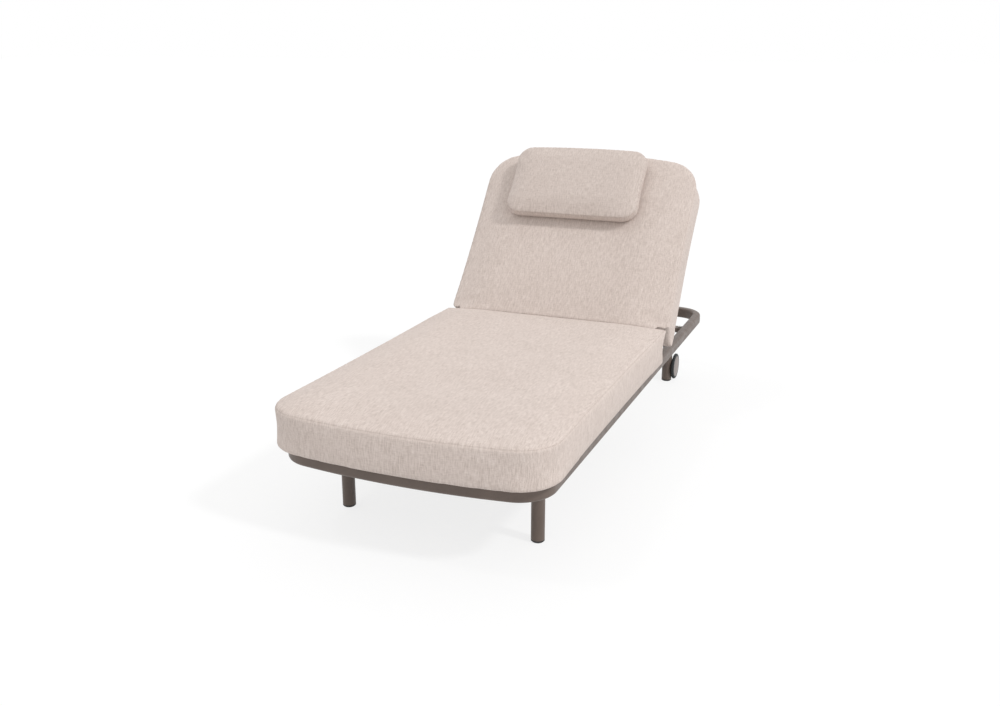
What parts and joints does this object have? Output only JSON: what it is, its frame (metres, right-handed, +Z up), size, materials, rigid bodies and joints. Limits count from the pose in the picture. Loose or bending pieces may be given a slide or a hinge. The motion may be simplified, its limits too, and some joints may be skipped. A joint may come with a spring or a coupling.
{
  "type": "sun lounger",
  "caption": "Low sun lounger: bowed metal frame on round legs, thick fabric seat and back cushions, reclining back on a folding prop, head pillow, transport wheels at the head end.",
  "frame": {"origin": "on the floor, under the middle of the overall length and width", "axes": "+Z up, +Y towards the head end with the reclining back, +X to the right seen from the foot end"},
  "size_m": [0.816, 1.9998, 0.9154],
  "materials": {
    "frame_paint": "taupe powder coat",
    "cushion_fabric": "greige melange weave",
    "webbing": "woven elastic webbing",
    "hook_and_loop": "hook-and-loop tape",
    "black_plastic": "moulded",
    "wheel_plastic": "moulded",
    "cap_plastic": "moulded",
    "tyre_rubber": "smooth tread",
    "fastener_steel": "stainless"
  },
  "bodies": {
    "back_frame": {"back_bottom_bar": "frame_paint", "back_left_tube": "frame_paint", "back_right_tube": "frame_paint", "back_strap_1": "webbing", "back_strap_2": "webbing", "back_strap_3": "webbing", "back_strap_4": "webbing", "back_top_bar": "frame_paint", "left_pivot_bush": "black_plastic", "prop_pins": "fastener_steel", "right_pivot_bush": "black_plastic"},
    "back_cushion": {"back_cushion": "cushion_fabric", "back_loop_tapes": "hook_and_loop"},
    "base": {"crossmember_bolts": "fastener_steel", "front_crossmember": "frame_paint", "front_left_foot": "black_plastic", "front_left_leg": "frame_paint", "front_rail": "frame_paint", "front_right_foot": "black_plastic", "front_right_leg": "frame_paint", "left_ledge": "frame_paint", "left_pivot_pin": "fastener_steel", "left_rack": "frame_paint", "left_side_rail": "frame_paint", "left_wheel_axle": "fastener_steel", "left_wheel_bracket": "frame_paint", "pivot_rings": "fastener_steel", "rail_tabs": "frame_paint", "rear_crossmember": "frame_paint", "rear_left_foot": "black_plastic", "rear_left_leg": "frame_paint", "rear_rail": "frame_paint", "rear_right_foot": "black_plastic", "rear_right_leg": "frame_paint", "right_ledge": "frame_paint", "right_pivot_pin": "fastener_steel", "right_rack": "frame_paint", "right_side_rail": "frame_paint", "right_wheel_axle": "fastener_steel", "right_wheel_bracket": "frame_paint", "seat_cushion": "cushion_fabric", "seat_strap_1": "webbing", "seat_strap_2": "webbing", "seat_strap_3": "webbing", "seat_strap_4": "webbing", "seat_strap_5": "webbing", "seat_strap_6": "webbing", "seat_strap_7": "webbing"},
    "pillow": {"head_pillow": "cushion_fabric", "pillow_hook_tapes": "hook_and_loop"},
    "left_wheel": {"left_wheel_cap": "cap_plastic", "left_wheel_core": "wheel_plastic", "left_wheel_tyre": "tyre_rubber"},
    "prop": {"prop_left_block": "black_plastic", "prop_right_block": "black_plastic", "prop_tube": "frame_paint"},
    "right_wheel": {"right_wheel_cap": "cap_plastic", "right_wheel_core": "wheel_plastic", "right_wheel_tyre": "tyre_rubber"}
  },
  "joints": [
    {"name": "backrest_recline", "type": "hinge", "parent": "base", "child": "back_frame", "pos_m": [0, 0.30836, 0.2355], "axis": [1, 0, 0], "range_deg": [-51, 0]},
    {"name": "cushion_fold", "type": "hinge", "parent": "base", "child": "back_cushion", "pos_m": [0, 0.235, 0.3893], "axis": [1, 0, 0], "range_deg": [-51, 0]},
    {"name": "prop_fold", "type": "hinge", "parent": "back_frame", "child": "prop", "pos_m": [0, 0.47702, 0.44378], "axis": [1, 0, 0], "range_deg": [0, 102]},
    {"name": "pillow_slide", "type": "slide", "parent": "back_cushion", "child": "pillow", "axis": [0, 0.6293, 0.7771], "range_m": [-0.09, 0]},
    {"name": "left_wheel_spin", "type": "hinge", "parent": "base", "child": "left_wheel", "pos_m": [-0.31, 0.786, 0.0525], "axis": [1, 0, 0], "continuous": true},
    {"name": "right_wheel_spin", "type": "hinge", "parent": "base", "child": "right_wheel", "pos_m": [0.31, 0.786, 0.0525], "axis": [1, 0, 0], "continuous": true}
  ],
  "couplings": [
    {"joint": "cushion_fold", "follows": "backrest_recline", "ratio": 1},
    {"joint": "prop_fold", "follows": "backrest_recline", "ratio": -2}
  ]
}
